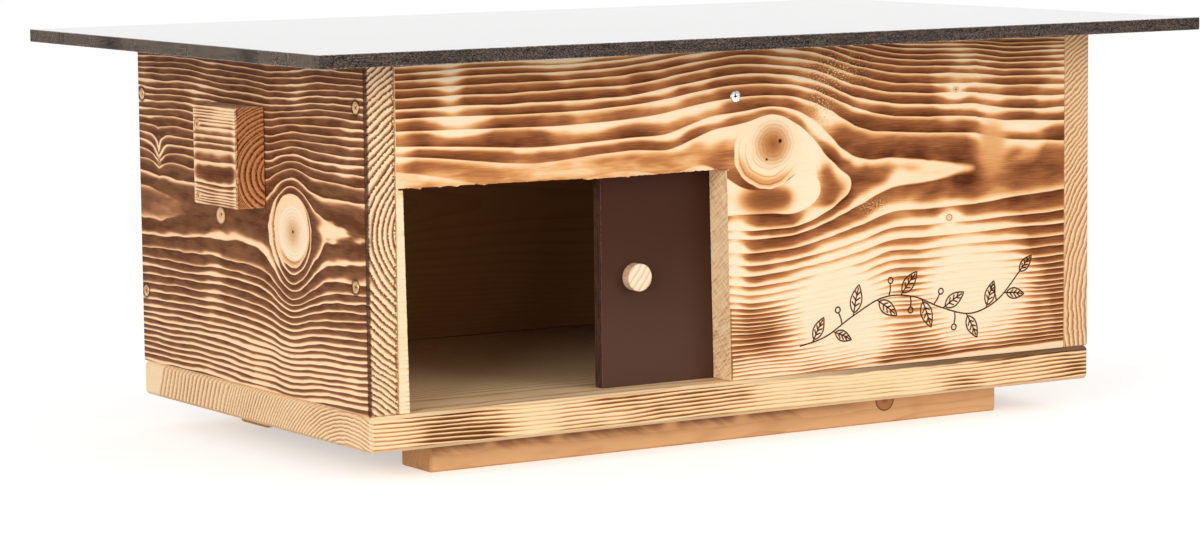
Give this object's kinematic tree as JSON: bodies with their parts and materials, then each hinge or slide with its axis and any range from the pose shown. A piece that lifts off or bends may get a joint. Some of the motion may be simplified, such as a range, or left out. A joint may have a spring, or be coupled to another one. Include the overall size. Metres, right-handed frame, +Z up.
{
  "type": "tortoise house",
  "caption": "Wooden tortoise house of flamed spruce boards with a side doorway, a sliding plywood door, handle blocks, runners and a wide lift-off roof.",
  "frame": {"origin": "on the ground under the middle of the roof and of the runners, which is the centre of the bounding box's bottom face", "axes": "-Y is the front with the doorway, +X is to the right of a person who looks at the front, +Z is up"},
  "size_m": [0.72, 0.444, 0.2869],
  "materials": {
    "left_side_wall_wood": "flamed spruce, dark char with pale raised latewood lines and one large knot",
    "right_side_wall_wood": "flamed spruce, dark char with pale raised latewood lines",
    "front_panel_wood": "flamed spruce, pale raised latewood lines on browned earlywood, with scorched line ornament",
    "back_panel_wood": "flamed spruce outside and inside",
    "floor_board_wood": "flamed spruce with a rounded pale front arris",
    "left_handle_wood": "flamed spruce block, browned end grain to the front",
    "right_handle_wood": "flamed spruce block, browned end grain to the front",
    "plain_batten_wood": "oiled orange-tan spruce batten",
    "door_film_plywood": "brown film-faced plywood, satin, with bare ply edges",
    "roof_film_plywood": "dark brown film-faced plywood, glossy",
    "knob_end_grain": "slice of round dowel, pale end grain with rings",
    "bright_zinc": "bright zinc-plated countersunk screw",
    "yellow_zinc": "yellow zinc-plated countersunk screw"
  },
  "bodies": {
    "house": {"left_side_wall": "left_side_wall_wood", "right_side_wall": "right_side_wall_wood", "front_panel": "front_panel_wood", "back_panel": "back_panel_wood", "floor_board": "floor_board_wood", "front_runner": "plain_batten_wood", "rear_runner": "plain_batten_wood", "left_handle": "left_handle_wood", "right_handle": "right_handle_wood", "door_top_spacer": "plain_batten_wood", "door_top_retainer": "plain_batten_wood", "door_bottom_guide": "plain_batten_wood", "front_rail_screw": "bright_zinc", "left_wall_screw_front_upper": "yellow_zinc", "left_wall_screw_front_lower": "yellow_zinc", "left_wall_screw_rear_upper": "yellow_zinc", "left_wall_screw_rear_lower": "yellow_zinc", "right_wall_screw_front_upper": "yellow_zinc", "right_wall_screw_front_lower": "yellow_zinc", "right_wall_screw_rear_upper": "yellow_zinc", "right_wall_screw_rear_lower": "yellow_zinc", "left_handle_screw_upper": "yellow_zinc", "left_handle_screw_lower": "yellow_zinc", "right_handle_screw_upper": "yellow_zinc", "right_handle_screw_lower": "yellow_zinc", "retainer_screw_1": "yellow_zinc", "retainer_screw_2": "yellow_zinc", "retainer_screw_3": "yellow_zinc", "guide_screw_1": "yellow_zinc", "guide_screw_2": "yellow_zinc", "floor_screw_1": "yellow_zinc", "floor_screw_2": "yellow_zinc", "floor_screw_3": "yellow_zinc", "floor_screw_4": "yellow_zinc", "floor_screw_5": "yellow_zinc", "floor_screw_6": "yellow_zinc", "floor_screw_7": "yellow_zinc", "runner_screw_1": "yellow_zinc", "runner_screw_2": "yellow_zinc", "runner_screw_3": "yellow_zinc", "runner_screw_4": "yellow_zinc", "runner_screw_5": "yellow_zinc", "runner_screw_6": "yellow_zinc"},
    "door": {"sliding_door": "door_film_plywood", "door_knob": "knob_end_grain", "door_knob_screw": "bright_zinc"},
    "roof": {"roof_panel": "roof_film_plywood", "roof_batten_left": "plain_batten_wood", "roof_batten_right": "plain_batten_wood", "roof_batten_left_screw_1": "yellow_zinc", "roof_batten_left_screw_2": "yellow_zinc", "roof_batten_right_screw_1": "yellow_zinc", "roof_batten_right_screw_2": "yellow_zinc"}
  },
  "joints": [
    {"name": "door_slide", "type": "slide", "parent": "house", "child": "door", "axis": [1, 0, 0], "range_m": [-0.1707, 0.0533]},
    {"name": "roof_lift", "type": "slide", "parent": "house", "child": "roof", "axis": [0, 0, 1], "range_m": [0, 0.15]}
  ]
}
